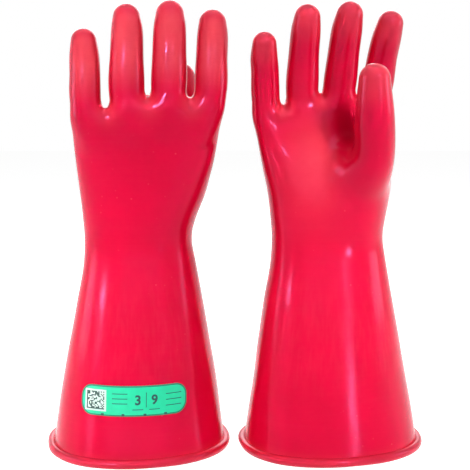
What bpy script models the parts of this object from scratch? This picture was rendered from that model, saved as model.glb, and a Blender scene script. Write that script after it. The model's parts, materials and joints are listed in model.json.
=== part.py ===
"""A pair of long insulating rubber gloves standing on their cuffs, fingers up.

Units are metres and +Z is up. Within a glove, u runs to the thumb side, v to the palm side
and z up from the floor. Each glove is one dipped rubber skin, divided where it bends: a part
that bends starts in a round end, which turns in a round seat of the part before it.
The left glove shows its back to -Y and the right glove its palm.
"""

import math
from collections import namedtuple

import bmesh
import bpy
from mathutils import Matrix, Vector

# Rubber skin
WALL = 0.0026
TURN_CLEARANCE = 0.0004
SEAT_GAP = 0.0003

# Sleeve, from the cuff to the wrist: heights and half sizes of its oval sections
CUFF_HALF_WIDTH = 0.0695
CUFF_HALF_DEPTH = 0.0575
SLEEVE_HEIGHT = 0.060
SLEEVE_HALF_WIDTH = 0.0627
SLEEVE_HALF_DEPTH = 0.0490
FOREARM_HEIGHT = 0.120
FOREARM_HALF_WIDTH = 0.0521
FOREARM_HALF_DEPTH = 0.0385
WRIST_HEIGHT = 0.172
WRIST_HALF_WIDTH = 0.0440
WRIST_HALF_DEPTH = 0.0300

# Hand, from the wrist to the knuckles
HEEL_RISE = 0.038
HEEL_NARROWING = 0.0098
HEEL_HALF_DEPTH = 0.0280
HEEL_SETBACK = 0.0010
PALM_RISE = 0.073
PALM_NARROWING = 0.0040
PALM_HALF_DEPTH = 0.0222
PALM_SETBACK = 0.0060
KNUCKLE_RISE = 0.119
KNUCKLE_HALF_DEPTH = 0.0155
KNUCKLE_SETBACK = 0.0140
KNUCKLE_ARCH = 0.00275
SHOULDER_HEIGHT = 0.0050
SHOULDER_INSET = 0.0025
SLEEVE_SQUARENESS = 2.0
HAND_SQUARENESS = 2.5

# Cuff bead and label
BEAD_RADIUS = 0.0036
CUFF_LIFT = 0.0006
LABEL_HEIGHT = 0.0525
LABEL_LENGTH = 0.0880
LABEL_WIDTH = 0.0265
LABEL_CORNER = 0.0105
LABEL_THICKNESS = 0.0009

# Bends: how far a part may turn from straight in its seat
WRIST_BEND = math.radians(20)
DIGIT_BEND = math.radians(54)
WRIST_END_ANGLE = math.radians(32)
DIGIT_END_ANGLE = math.radians(50)
FINGER_BASE_CURL = math.radians(9)
FINGER_TIP_CURL = math.radians(12)
FINGER_LEAN = math.radians(-1)

# Fingers, side by side on each hand; the table of fingers gives shares of these two sizes
FINGER_RADIUS = 0.0135
FINGER_LENGTH = 0.0722
LEFT_PITCH = 0.0326
RIGHT_PITCH = 0.0303

# Thumb, its root on the palm, its ball of rubber and the way it stands
THUMB_ROOT_RADIUS = 0.0170
THUMB_BEND_RADIUS = 0.0148
THUMB_TIP_RADIUS = 0.0125
THUMB_BASE_LENGTH = 0.0330
THUMB_TIP_LENGTH = 0.0422
THUMB_SIDE = 0.0330
THUMB_REACH = 0.0380
THUMB_RISE = 0.0680
THUMB_LEAN = math.radians(-3.5)
THUMB_BASE_CURL = math.radians(22)
THUMB_TIP_CURL = math.radians(-10)
THENAR_SIDE = 0.0160
THENAR_REACH = 0.0030
THENAR_RISE = 0.0310
THENAR_RADIUS = 0.0240

# How the sleeve and the hand lean to the thumb side of the wrist
LEFT_CUFF_SHIFT = -0.0008
RIGHT_CUFF_SHIFT = 0.0048
LEFT_PALM_SHIFT = 0.0096
RIGHT_PALM_SHIFT = -0.0051

# Where the pair stands: the gap between the cuffs, and the wrists behind the middle of the pair
CUFF_GAP = 0.0062
WRIST_Y = -0.0033

# Facets
BODY_SIDES = 32
DIGIT_SIDES = 14
SEAT_SIDES = 16
BEAD_SIDES = 10
ARC_STEPS = 3
LABEL_STEPS = 14

Section = namedtuple("Section", "height half_width half_depth setback squareness")
Digit = namedtuple("Digit", "name root_radius bend_radius tip_radius base_length tip_length")
Glove = namedtuple("Glove", "side palm_sign turn cuff_shift cuff_turn palm_shift pitch fan")


def finger(name, root, bend, tip, base, end):
    """A finger from its radii and lengths, as shares of the finger radius and length."""
    return Digit(name, root * FINGER_RADIUS, bend * FINGER_RADIUS, tip * FINGER_RADIUS,
                 base * FINGER_LENGTH, end * FINGER_LENGTH)


FINGERS = (
    finger("little", 0.890, 0.845, 0.785, 0.346, 0.494),
    finger("ring", 0.985, 0.935, 0.865, 0.416, 0.587),
    finger("middle", 1.000, 0.965, 0.905, 0.416, 0.584),
    finger("index", 0.955, 0.905, 0.835, 0.388, 0.550),
)
THUMB = Digit("thumb", THUMB_ROOT_RADIUS, THUMB_BEND_RADIUS, THUMB_TIP_RADIUS,
              THUMB_BASE_LENGTH, THUMB_TIP_LENGTH)
MIDDLE_FINGER = 2

GLOVES = (
    Glove("left", 1, math.radians(6), LEFT_CUFF_SHIFT, math.radians(12), LEFT_PALM_SHIFT,
          LEFT_PITCH, math.radians(1.3)),
    Glove("right", -1, math.radians(6), RIGHT_CUFF_SHIFT, math.radians(2), RIGHT_PALM_SHIFT,
          RIGHT_PITCH, math.radians(3.2)),
)


def remove_everything():
    for obj in list(bpy.data.objects):
        bpy.data.objects.remove(obj)


def rubber_material(name, colour, roughness):
    material = bpy.data.materials.new(name)
    material.use_nodes = True
    shader = material.node_tree.nodes["Principled BSDF"]
    shader.inputs["Base Color"].default_value = (*colour, 1)
    shader.inputs["Roughness"].default_value = roughness
    shader.inputs["Metallic"].default_value = 0
    material.diffuse_color = (*colour, 1)
    return material


def mesh_object(name, bm, material, parent):
    """Closes the shape's faces outward and puts it into the scene as one named object."""
    bmesh.ops.recalc_face_normals(bm, faces=bm.faces)
    mesh = bpy.data.meshes.new(name)
    bm.to_mesh(mesh)
    bm.free()
    mesh.shade_smooth()
    mesh.set_sharp_from_angle(angle=math.radians(40))
    mesh.materials.append(material)
    obj = bpy.data.objects.new(name, mesh)
    bpy.context.collection.objects.link(obj)
    obj.parent = parent
    return obj


def cut(target, name, bm, operation="DIFFERENCE"):
    """Joins a helper shape to the target, or takes it away.

    The seats cross the thin palm wall at shallow angles, where the exact solver leaves gaps.
    """
    helper = mesh_object(f"{target.name}_{name}", bm, target.data.materials[0], target.parent)
    helper.location = target.location
    helper.hide_render = True
    helper.display_type = "WIRE"
    modifier = target.modifiers.new(name, "BOOLEAN")
    modifier.operation = operation
    modifier.solver = "MANIFOLD"
    modifier.object = helper
    return helper


def empty(name, parent, location):
    obj = bpy.data.objects.new(name, None)
    bpy.context.collection.objects.link(obj)
    obj.parent = parent
    obj.location = location
    return obj


# Sections of the sleeve and hand

def smooth_step(x):
    x = min(max(x, 0), 1)
    return x * x * (3 - 2 * x)


def knuckle_half_width(glove):
    outer = (FINGERS[0].root_radius + FINGERS[-1].root_radius) / 2
    return glove.pitch * (len(FINGERS) - 1) / 2 + outer


def sections(glove):
    hand = knuckle_half_width(glove)
    return (
        Section(0, CUFF_HALF_WIDTH, CUFF_HALF_DEPTH, 0, SLEEVE_SQUARENESS),
        Section(SLEEVE_HEIGHT, SLEEVE_HALF_WIDTH, SLEEVE_HALF_DEPTH, 0, SLEEVE_SQUARENESS),
        Section(FOREARM_HEIGHT, FOREARM_HALF_WIDTH, FOREARM_HALF_DEPTH, 0, SLEEVE_SQUARENESS),
        Section(WRIST_HEIGHT, WRIST_HALF_WIDTH, WRIST_HALF_DEPTH, 0, SLEEVE_SQUARENESS),
        Section(WRIST_HEIGHT + HEEL_RISE, hand - HEEL_NARROWING, HEEL_HALF_DEPTH,
                HEEL_SETBACK, SLEEVE_SQUARENESS),
        Section(WRIST_HEIGHT + PALM_RISE, hand - PALM_NARROWING, PALM_HALF_DEPTH,
                PALM_SETBACK, HAND_SQUARENESS),
        Section(WRIST_HEIGHT + KNUCKLE_RISE, hand, KNUCKLE_HALF_DEPTH,
                KNUCKLE_SETBACK, HAND_SQUARENESS),
    )


def section_at(glove, height):
    """A section at any height, on a smooth curve through the named sections."""
    known = sections(glove)
    last = len(known) - 1
    low = 0
    while low < last - 1 and known[low + 1].height < height:
        low += 1
    start, end = known[low], known[low + 1]
    before, after = known[max(low - 1, 0)], known[min(low + 2, last)]
    span = end.height - start.height
    t = (height - start.height) / span
    values = []
    for p0, p1, p2, p3 in zip(before, start, end, after):
        slope_1 = (p2 - p0) / (end.height - before.height) * span
        slope_2 = (p3 - p1) / (after.height - start.height) * span
        cubic = 2 * (p1 - p2) + slope_1 + slope_2
        square = 3 * (p2 - p1) - 2 * slope_1 - slope_2
        values.append(((cubic * t + square) * t + slope_1) * t + p1)
    return Section(*values)


def centre_shift(glove, height):
    """How far the section's middle lies to the thumb side of the wrist."""
    if height < WRIST_HEIGHT:
        return glove.cuff_shift * (1 - height / WRIST_HEIGHT)
    return glove.palm_shift * smooth_step((height - WRIST_HEIGHT) / KNUCKLE_RISE)


def section_turn(glove, height):
    return glove.cuff_turn * smooth_step(1 - height / WRIST_HEIGHT)


def oval_point(half_width, half_depth, squareness, angle):
    across = math.cos(angle)
    along = math.sin(angle)
    return (
        math.copysign(abs(across) ** (2 / squareness), across) * half_width,
        math.copysign(abs(along) ** (2 / squareness), along) * half_depth,
    )


def skin_point(glove, height, angle, inset=0, grown=None):
    """A point of the skin in the glove's frame; inset goes inward, grown replaces the half sizes."""
    section = section_at(glove, height)
    half = grown or (section.half_width - inset, section.half_depth - inset)
    u, v = oval_point(*half, section.squareness, angle)
    v -= section.setback
    turned = Matrix.Rotation(section_turn(glove, height), 2) @ Vector((u, glove.palm_sign * v))
    return Vector((turned.x + centre_shift(glove, height), turned.y, height))


def ring_angles(sides):
    return [2 * math.pi * i / sides for i in range(sides)]


def skin_ring(glove, height, inset=0, grown=None):
    return [skin_point(glove, height, angle, inset, grown) for angle in ring_angles(BODY_SIDES)]


# Shapes made of rings

def join_rings(bm, rings, cyclic=False):
    """Rows of quads from each ring to the next, cut into triangles."""
    rows = [[bm.verts.new(point) for point in ring] for ring in rings]
    pairs = list(zip(rows, rows[1:]))
    if cyclic:
        pairs.append((rows[-1], rows[0]))
    for low, high in pairs:
        for i in range(len(low)):
            k = (i + 1) % len(low)
            bm.faces.new((low[i], low[k], high[k], high[i]))
    return rows


def close_across(bm, row):
    """Caps a ring with strips that run from its palm side to its back."""
    count = len(row)
    bm.faces.new((row[0], row[1], row[-1]))
    for i in range(1, count // 2 - 1):
        bm.faces.new((row[i], row[i + 1], row[count - i - 1], row[count - i]))
    half = count // 2
    bm.faces.new((row[half - 1], row[half], row[half + 1]))


def solid_of_rings(rings):
    bm = bmesh.new()
    rows = join_rings(bm, rings)
    close_across(bm, rows[0])
    close_across(bm, rows[-1])
    bmesh.ops.triangulate(bm, faces=bm.faces)
    return bm


def turned_solid(profile, sides):
    """Turns a closed outline of (radius, height) points about Z; a zero radius is a pole."""
    bm = bmesh.new()
    rows = []
    for radius, height in profile:
        if radius == 0:
            rows.append([bm.verts.new((0, 0, height))])
            continue
        rows.append([bm.verts.new((radius * math.cos(a), radius * math.sin(a), height))
                     for a in ring_angles(sides)])
    for low, high in zip(rows, rows[1:] + rows[:1]):
        if len(low) == len(high) == 1:
            continue
        for i in range(sides):
            k = (i + 1) % sides
            corners = (low[i % len(low)], low[k % len(low)], high[k % len(high)], high[i % len(high)])
            bm.faces.new(dict.fromkeys(corners))
    return bm


def arc(radius, start, end, middle=0.0, steps=ARC_STEPS):
    """Points of a round outline about (0, middle), angles measured up from level."""
    return [
        (radius * math.cos(a), middle + radius * math.sin(a))
        for a in (start + (end - start) * i / steps for i in range(steps + 1))
    ]


def seat_drop(radius, bend):
    """How far a seat's rim stays below the bend, so that the part in it turns that far."""
    return (radius + 2 * TURN_CLEARANCE - radius * math.cos(bend)) / math.sin(bend)


# Digits

def base_profile(digit):
    """Outline of a digit's base part: round lower end, straight skin, seat for the tip part."""
    drop = seat_drop(digit.bend_radius, DIGIT_BEND)
    seat = (digit.bend_radius + TURN_CLEARANCE) / math.cos(math.pi / DIGIT_SIDES)
    rim = digit.base_length - drop
    inner = digit.bend_radius - WALL
    taper = (digit.bend_radius - digit.root_radius) / digit.base_length
    seat_end = digit.base_length - math.sqrt(seat**2 - inner**2)
    outside = arc(digit.root_radius, -DIGIT_END_ANGLE, 0)
    rim_points = [
        (digit.root_radius + taper * rim, rim),
        (math.sqrt(seat**2 - drop**2), rim),
        (inner, seat_end),
    ]
    inside = arc(digit.root_radius - WALL, 0, -DIGIT_END_ANGLE)
    return outside + rim_points + inside


def tip_profile(digit):
    """Outline of a digit's closed tip part, from its round lower end to its rounded tip."""
    middle = digit.tip_length - digit.tip_radius
    inner = digit.tip_radius - WALL
    top = math.pi / 2
    outside = arc(digit.bend_radius, -DIGIT_END_ANGLE, 0) + arc(digit.tip_radius, 0, top, middle)
    inside = arc(inner, top, 0, middle) + arc(digit.bend_radius - WALL, 0, -DIGIT_END_ANGLE)
    outside[-1] = (0, digit.tip_length)
    inside[0] = (0, middle + inner)
    return outside + inside


def bone_turn(glove, lean, curl):
    """Turns +Z to the thumb side by lean and to the palm side by curl."""
    return Matrix.Rotation(lean, 3, "Y") @ Matrix.Rotation(-glove.palm_sign * curl, 3, "X")


def make_digit(glove, digit, palm, place, lean, base_curl, tip_curl, material):
    name = f"{glove.side}_{digit.name}"
    base = mesh_object(f"{name}_base", turned_solid(base_profile(digit), DIGIT_SIDES), material, palm)
    base.location = place
    base.rotation_euler = bone_turn(glove, lean, base_curl).to_euler()
    tip = mesh_object(f"{name}_tip", turned_solid(tip_profile(digit), DIGIT_SIDES), material, base)
    tip.location = (0, 0, digit.base_length)
    tip.rotation_euler = bone_turn(glove, 0, tip_curl).to_euler()


def knuckle_place(glove, index):
    """Where a finger's knuckle bends, from the wrist's bend."""
    rise = KNUCKLE_RISE - KNUCKLE_ARCH * (index - MIDDLE_FINGER) ** 2
    across = glove.palm_shift + (index - (len(FINGERS) - 1) / 2) * glove.pitch
    return Vector((across, -glove.palm_sign * KNUCKLE_SETBACK, rise))


def thumb_place(glove):
    return Vector((glove.palm_shift + THUMB_SIDE, glove.palm_sign * THUMB_REACH, THUMB_RISE))


# Palm

def knuckle_line(glove, across):
    """Height of the hand's upper edge above the wrist, under the arch of knuckles."""
    steps = (across - glove.palm_shift) / glove.pitch + (len(FINGERS) - 1) / 2 - MIDDLE_FINGER
    drop = seat_drop(FINGERS[MIDDLE_FINGER].root_radius, DIGIT_BEND)
    return KNUCKLE_RISE - drop - KNUCKLE_ARCH * steps**2


def wrist_end_ring(glove, angle, inset):
    """A ring of the hand's round lower end, which turns about the wrist's u axis."""
    half = ((WRIST_HALF_WIDTH - inset) * math.cos(angle), (WRIST_HALF_DEPTH - inset) * math.cos(angle))
    ring = skin_ring(glove, WRIST_HEIGHT, grown=half)
    drop = Vector((0, 0, (WRIST_HALF_DEPTH - inset) * math.sin(angle) + WRIST_HEIGHT))
    return [point - drop for point in ring]


def hand_ring(glove, rise, inset):
    return [point - Vector((0, 0, WRIST_HEIGHT)) for point in skin_ring(glove, WRIST_HEIGHT + rise, inset)]


def edge_ring(glove, inset, below):
    """A ring of the hand's upper edge, which follows the arch of knuckles."""
    ring = hand_ring(glove, KNUCKLE_RISE, inset)
    return [Vector((p.x, p.y, knuckle_line(glove, p.x) - below)) for p in ring]


def hand_solid(glove, inset):
    """The hand between wrist and knuckles; with an inset, its hollow."""
    steps = range(ARC_STEPS, -1, -1)
    rings = [wrist_end_ring(glove, WRIST_END_ANGLE * i / ARC_STEPS, inset) for i in steps]
    if inset:
        lowered = Vector((0, 0, 2 * inset))
        rings.insert(0, [point - lowered for point in rings[0]])
    rises = (HEEL_RISE / 2, HEEL_RISE, (HEEL_RISE + PALM_RISE) / 2, PALM_RISE,
             (2 * PALM_RISE + KNUCKLE_RISE) / 3)
    rings += [hand_ring(glove, rise, inset) for rise in rises]
    rings.append(edge_ring(glove, inset, SHOULDER_HEIGHT + inset))
    rings.append(edge_ring(glove, SHOULDER_INSET + inset, inset))
    return solid_of_rings(rings)


def seat_ball(place, radius):
    """A ball that cuts a seat; its flats keep the turning clearance."""
    grown = (radius + TURN_CLEARANCE) / math.cos(math.pi / SEAT_SIDES)
    bm = bmesh.new()
    bmesh.ops.create_uvsphere(bm, u_segments=SEAT_SIDES, v_segments=SEAT_SIDES // 2, radius=grown)
    bmesh.ops.translate(bm, vec=place, verts=bm.verts)
    return bm


def thenar_solid(glove, inset):
    """The ball of rubber that carries the thumb, from inside the palm to the thumb's seat."""
    root = thumb_place(glove)
    start = Vector((glove.palm_shift + THENAR_SIDE, glove.palm_sign * THENAR_REACH, THENAR_RISE))
    turn = bone_turn(glove, THUMB_LEAN, THUMB_BASE_CURL)
    drop = seat_drop(THUMB.root_radius, DIGIT_BEND) - 2 * inset
    end = root - turn @ Vector((0, 0, drop))
    axis = turn @ Vector((0, 0, 1))
    lower = axis.rotation_difference(end - start).to_matrix() @ turn
    radii = (THENAR_RADIUS - inset, THUMB.root_radius - inset)
    down = -math.pi / 4
    rings = []
    for place, direction, radius, height in (
        (start, lower, radii[0] * math.cos(down), radii[0] * math.sin(down)),
        (start, lower, radii[0], 0),
        (end, turn, radii[1], 0),
    ):
        rings.append([
            place + direction @ Vector((radius * math.cos(a), radius * math.sin(a), height))
            for a in ring_angles(SEAT_SIDES)
        ])
    return solid_of_rings(rings)


def make_palm(glove, parent, material):
    palm = mesh_object(f"{glove.side}_palm", hand_solid(glove, 0), material, parent)
    palm.location = (0, 0, WRIST_HEIGHT)
    cut(palm, "thenar", thenar_solid(glove, 0), "UNION")
    hollow = cut(palm, "hollow", hand_solid(glove, WALL))
    cut(hollow, "thenar", thenar_solid(glove, WALL), "UNION")
    cut(palm, "thumb_seat", seat_ball(thumb_place(glove), THUMB.root_radius))
    for index, digit in enumerate(FINGERS):
        ball = seat_ball(knuckle_place(glove, index), digit.root_radius)
        cut(palm, f"{digit.name}_seat", ball)
    return palm


# Gauntlet, cuff bead and label

def wrist_seat_half(height):
    """Half sizes of the round wrist seat at a height below the wrist."""
    seat_depth = WRIST_HALF_DEPTH + TURN_CLEARANCE
    share = math.sqrt(max(1 - ((WRIST_HEIGHT - height) / seat_depth) ** 2, 0))
    return (WRIST_HALF_WIDTH + TURN_CLEARANCE) * share, seat_depth * share


def make_gauntlet(glove, parent, material):
    rim = WRIST_HEIGHT - seat_drop(WRIST_HALF_DEPTH, WRIST_BEND)
    seat_length = WRIST_HEIGHT - rim
    heights = [CUFF_LIFT, SLEEVE_HEIGHT / 2, SLEEVE_HEIGHT, (SLEEVE_HEIGHT + FOREARM_HEIGHT) / 2,
               FOREARM_HEIGHT, rim - seat_length, rim - seat_length / 2, rim]
    outer = [skin_ring(glove, height) for height in heights]
    inner = []
    for height in reversed(heights):
        section = section_at(glove, height)
        seat = wrist_seat_half(height)
        grown = (max(section.half_width - WALL, seat[0]), max(section.half_depth - WALL, seat[1]))
        inner.append(skin_ring(glove, height, grown=grown))
    bm = bmesh.new()
    join_rings(bm, outer + inner, cyclic=True)
    return mesh_object(f"{glove.side}_gauntlet", bm, material, parent)


def make_bead(glove, parent, material):
    """The rolled edge: a round roll outside the cuff, with a flat foot to stand on."""
    corner = math.pi / BEAD_SIDES
    lift = BEAD_RADIUS * math.cos(corner)
    cuff = skin_ring(glove, lift)
    bm = bmesh.new()
    rings = []
    for i, point in enumerate(cuff):
        along = cuff[(i + 1) % len(cuff)] - cuff[i - 1]
        outward = Vector((along.y, -along.x, 0)).normalized() * glove.palm_sign
        middle = point + outward * (BEAD_RADIUS + SEAT_GAP)
        angles = [a + corner - math.pi / 2 for a in ring_angles(BEAD_SIDES)]
        rings.append([
            middle + BEAD_RADIUS * (outward * math.cos(a) + Vector((0, 0, math.sin(a)))) for a in angles
        ])
    join_rings(bm, rings, cyclic=True)
    return mesh_object(f"{glove.side}_cuff_bead", bm, material, parent)


def back_point(glove, along, height, lift):
    """A point on the back of the sleeve, a distance along its skin from the middle line."""
    angle = -math.pi / 2 - glove.palm_sign * section_turn(glove, height)
    step = math.copysign(math.radians(1), along)
    here = skin_point(glove, height, angle)
    left = abs(along)
    while True:
        beyond = skin_point(glove, height, angle + step)
        length = (beyond - here).length
        if length >= left:
            break
        left -= length
        angle += step
        here = beyond
    point = here.lerp(beyond, left / length)
    tangent = (beyond - here) * math.copysign(1, along)
    outward = Vector((tangent.y, -tangent.x, 0)).normalized() * glove.palm_sign
    return point + outward * lift


def label_half_height(along):
    """Half height of the label's outline at a distance from its middle: straight, with round corners."""
    past = abs(along) - (LABEL_LENGTH / 2 - LABEL_CORNER)
    if past <= 0:
        return LABEL_WIDTH / 2
    return LABEL_WIDTH / 2 - LABEL_CORNER + math.sqrt(max(LABEL_CORNER**2 - past**2, 0))


def make_label(glove, parent, material):
    bm = bmesh.new()
    rings = []
    for i in range(LABEL_STEPS + 1):
        along = -math.cos(math.pi * i / LABEL_STEPS) * LABEL_LENGTH / 2
        half = label_half_height(along)
        corners = ((-half, SEAT_GAP), (half, SEAT_GAP), (half, SEAT_GAP + LABEL_THICKNESS),
                   (-half, SEAT_GAP + LABEL_THICKNESS))
        rings.append([back_point(glove, along, LABEL_HEIGHT + up, lift) for up, lift in corners])
    rows = join_rings(bm, rings)
    bm.faces.new(rows[0])
    bm.faces.new(rows[-1])
    return mesh_object(f"{glove.side}_label", bm, material, parent)


def cuff_reach(glove):
    """How far the cuff and its bead reach from the wrist to -X and to +X."""
    turn = Matrix.Rotation(glove.turn, 2)
    across = [(turn @ point.xy).x for point in skin_ring(glove, 0)]
    bead = 2 * BEAD_RADIUS + SEAT_GAP
    return min(across) - bead, max(across) + bead


def wrist_places():
    """Where each wrist stands along X: the pair is centred, with the gap between its cuffs."""
    left, right = (cuff_reach(glove) for glove in GLOVES)
    width = left[1] - left[0] + CUFF_GAP + right[1] - right[0]
    return -width / 2 - left[0], width / 2 - right[1]


def make_glove(glove, wrist_x, rubber, label):
    root = empty(f"{glove.side}_glove", None, (wrist_x, WRIST_Y, 0))
    root.rotation_euler = (0, 0, glove.turn)
    make_gauntlet(glove, root, rubber)
    make_bead(glove, root, rubber)
    make_label(glove, root, label)
    palm = make_palm(glove, root, rubber)
    for index, digit in enumerate(FINGERS):
        make_digit(glove, digit, palm, knuckle_place(glove, index), FINGER_LEAN + index * glove.fan,
                   FINGER_BASE_CURL, FINGER_TIP_CURL, rubber)
    make_digit(glove, THUMB, palm, thumb_place(glove), THUMB_LEAN, THUMB_BASE_CURL, THUMB_TIP_CURL,
               rubber)


def main():
    remove_everything()
    rubber = rubber_material("red_rubber", (0.72, 0.005, 0.045), 0.42)
    label = rubber_material("green_label", (0.01, 0.78, 0.42), 0.45)
    for glove, wrist_x in zip(GLOVES, wrist_places()):
        make_glove(glove, wrist_x, rubber, label)


main()
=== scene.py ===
"""The looks of a pair of insulating rubber gloves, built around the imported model.

Each glove is one smooth rubber skin: a lofted sleeve and hand with rounded digits melted into it,
turned into a mesh, given its wall and divided where it bends. Units are metres and +Z is up.
In a glove's own frame x runs to the thumb side, v to the palm side and z up from the floor.
"""
import itertools
import json
import math
import random
from collections import namedtuple

import bmesh
import bpy
import numpy as np
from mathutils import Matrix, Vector


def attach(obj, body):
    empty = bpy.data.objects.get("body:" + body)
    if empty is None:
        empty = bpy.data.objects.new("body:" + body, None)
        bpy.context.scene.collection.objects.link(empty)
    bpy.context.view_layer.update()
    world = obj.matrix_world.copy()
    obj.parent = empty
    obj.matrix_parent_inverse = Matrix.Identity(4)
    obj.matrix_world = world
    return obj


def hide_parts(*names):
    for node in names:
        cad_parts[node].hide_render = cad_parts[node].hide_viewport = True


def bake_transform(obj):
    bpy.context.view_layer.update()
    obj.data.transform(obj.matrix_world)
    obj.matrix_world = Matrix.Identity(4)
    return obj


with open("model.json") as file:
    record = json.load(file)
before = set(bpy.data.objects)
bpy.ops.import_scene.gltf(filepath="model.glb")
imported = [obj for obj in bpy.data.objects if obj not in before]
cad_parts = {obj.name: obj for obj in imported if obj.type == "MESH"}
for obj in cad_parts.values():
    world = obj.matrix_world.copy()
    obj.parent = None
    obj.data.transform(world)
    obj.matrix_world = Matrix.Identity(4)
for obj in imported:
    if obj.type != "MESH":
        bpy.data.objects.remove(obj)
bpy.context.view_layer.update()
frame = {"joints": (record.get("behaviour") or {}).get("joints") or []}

# Rubber skin
WALL = 0.0026
CUFF_LIFT = 0.0006
BEAD_RADIUS = 0.0036

# Depth of the sleeve and hand: height, half depth, setback to the back of the hand, squareness
DEPTHS = (
    (0.000, 0.0592, 0.0000, 2.30),
    (0.030, 0.0535, 0.0000, 2.10),
    (0.060, 0.0488, 0.0000, 2.00),
    (0.090, 0.0436, 0.0000, 2.00),
    (0.120, 0.0385, 0.0000, 2.00),
    (0.150, 0.0332, 0.0000, 2.00),
    (0.172, 0.0300, 0.0000, 2.00),
    (0.190, 0.0292, 0.0003, 2.05),
    (0.210, 0.0278, 0.0012, 2.10),
    (0.228, 0.0252, 0.0036, 2.25),
    (0.245, 0.0218, 0.0066, 2.40),
    (0.262, 0.0176, 0.0112, 2.45),
    (0.278, 0.0148, 0.0145, 2.50),
    (0.291, 0.0140, 0.0150, 2.50),
)

# Outline of each glove at some of these heights: height, middle, half width
LEFT_WIDTHS = (
    (0.000, -0.0010, 0.0703),
    (0.030, -0.0001, 0.0665),
    (0.060, 0.0006, 0.0624),
    (0.090, 0.0007, 0.0569),
    (0.120, 0.0010, 0.0514),
    (0.150, 0.0010, 0.0458),
    (0.172, 0.0001, 0.0433),
    (0.190, 0.0010, 0.0452),
    (0.210, 0.0043, 0.0502),
    (0.228, 0.0064, 0.0540),
    (0.245, 0.0072, 0.0564),
    (0.268, 0.0080, 0.0588),
    (0.291, 0.0088, 0.0606),
)
RIGHT_WIDTHS = (
    (0.000, 0.0047, 0.0713),
    (0.030, 0.0044, 0.0677),
    (0.060, 0.0037, 0.0631),
    (0.090, 0.0024, 0.0584),
    (0.120, 0.0013, 0.0533),
    (0.150, 0.0008, 0.0477),
    (0.172, 0.0000, 0.0453),
    (0.190, 0.0000, 0.0464),
    (0.210, 0.0001, 0.0486),
    (0.228, -0.0004, 0.0513),
    (0.245, -0.0015, 0.0532),
    (0.268, -0.0036, 0.0546),
    (0.291, -0.0048, 0.0560),
)
WRIST_HEIGHT = 0.172
KNUCKLE_RISE = 0.119
WEB_ARCH = 0.0037
WEB_DROP = 0.0065
WEB_SPAN = (-1.6, 0.9)
CUFF_DEPTH_FADE = 0.050

# How softly the shapes melt into each other, and how uneven the rubber is
WEB_ROUNDING = 0.012
FINGER_JOIN = 0.0040
KNUCKLE_JOIN = 0.0090
THUMB_JOIN = 0.0140
RIPPLE = 0.00022
FINE_RIPPLE = 0.00014

# Digits: root, bend and tip radius, and the length from the bend to the end of the tip
Digit = namedtuple("Digit", "name root bend tip tip_length")
FINGERS = (
    Digit("little", 0.0114, 0.0116, 0.0098, 0.0357),
    Digit("ring", 0.0131, 0.0126, 0.0107, 0.0424),
    Digit("middle", 0.0134, 0.0130, 0.0111, 0.0422),
    Digit("index", 0.0127, 0.0124, 0.0106, 0.0397),
)
THUMB = Digit("thumb", 0.0168, 0.0152, 0.0119, 0.0422)
FINGER_TIP_CURL = math.radians(12)
THUMB_TIP_CURL = math.radians(10)
MIDDLE_FINGER = 2

# Finger inside the hand: length below the root, lean to the middle of the palm, share of the root's radius
FOOT_LENGTH = 0.030
FOOT_LEAN = 0.12
FOOT_SHARE = 0.55
# Finger below its tip: length, and share of the bend's radius
SHOULDER_LENGTH = 0.012
SHOULDER_SHARE = 0.97

# Ball of the thumb: share of the palm's shift, x, v, height above the wrist, radius
THENAR = (
    (0.20, 0.0130, 0.0000, -0.0120, 0.0150),
    (0.25, 0.0140, 0.0020, 0.0160, 0.0242),
    (0.60, 0.0228, 0.0105, 0.0440, 0.0262),
)

# Fill of the web beside the thumb: its place from the thumb's root, and its reach
THUMB_WEB = (-0.012, -0.014, 0.006)
THUMB_WEB_REACH = 0.019
THUMB_WEB_FILL = 0.010

# Pale coral, partly powder and partly painted sheen: its strength, and the middle and size of its spots
TIP_POWDER_SHEEN = 0.55
TIP_POWDER_SHEEN_END = 2.9
TIP_POWDER_SHEEN_FADE = 2.4
BACK_POWDER_SHEEN = 0.85
BACK_EDGE = 0.70
BACK_EDGE_FADE = 0.38
BACK_DROP = 0.004
BACK_RISE = 0.034
WEB_POWDER_SHEEN = 0.55
WEB_SPOT_DROP = 0.011
WEB_SPOT = (0.009, 0.020, 0.010)
PALM_POWDER_SHEEN = 0.62
PALM_CLOUD_MIDDLE = (-0.004, 0.016, 0.062)
PALM_CLOUD = (0.026, 0.018, 0.045)
CUFF_POWDER = 0.45
CUFF_POWDER_RISE = 0.012
# Painted shade in the crease behind the thumb, where the value falls below zero; it also dims the shine
# there
CREASE_PAINTED_SHADE = 0.70
CREASE_MIDDLE = (-0.002, -0.013, 0.012)
CREASE = (0.012, 0.024, 0.027)

# Label on the back of the sleeve, in lengths along the skin and up from its middle
LABEL_HEIGHT = 0.0505
LABEL_LENGTH = 0.0860
LABEL_WIDTH = 0.0234
LABEL_CORNER = 0.0095
LABEL_SHIFT = -0.0052
BORDER = 0.0012
BORDER_STEP = 0.003
CORNER_STEPS = 12
PATCH_MIDDLE = (-0.0306, 0.0)
PATCH_SIZE = (0.0178, 0.0166)
PATCH_CELLS = 18
PATCH_BLOCKS = 15
BLOCK_SHARE = 0.96
BLOCK_CHANCE = 0.47
NUMERALS = (("3", 0.0031), ("9", 0.0162))
NUMERAL_HEIGHT = 0.0078
NUMERAL_RISE = 0.0008
NUMERAL_WEIGHT = 0.030
DIVIDER_PLACE = 0.0097
DIVIDER_SIZE = (0.00045, 0.0115)
TICK_PLACES = (-0.0245, -0.0083, 0.0087, 0.0250)
TICK_SIZE = (0.0022, 0.0017)
TICK_INSET = 0.0011
LINE_WIDTH = 0.00055
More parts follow.
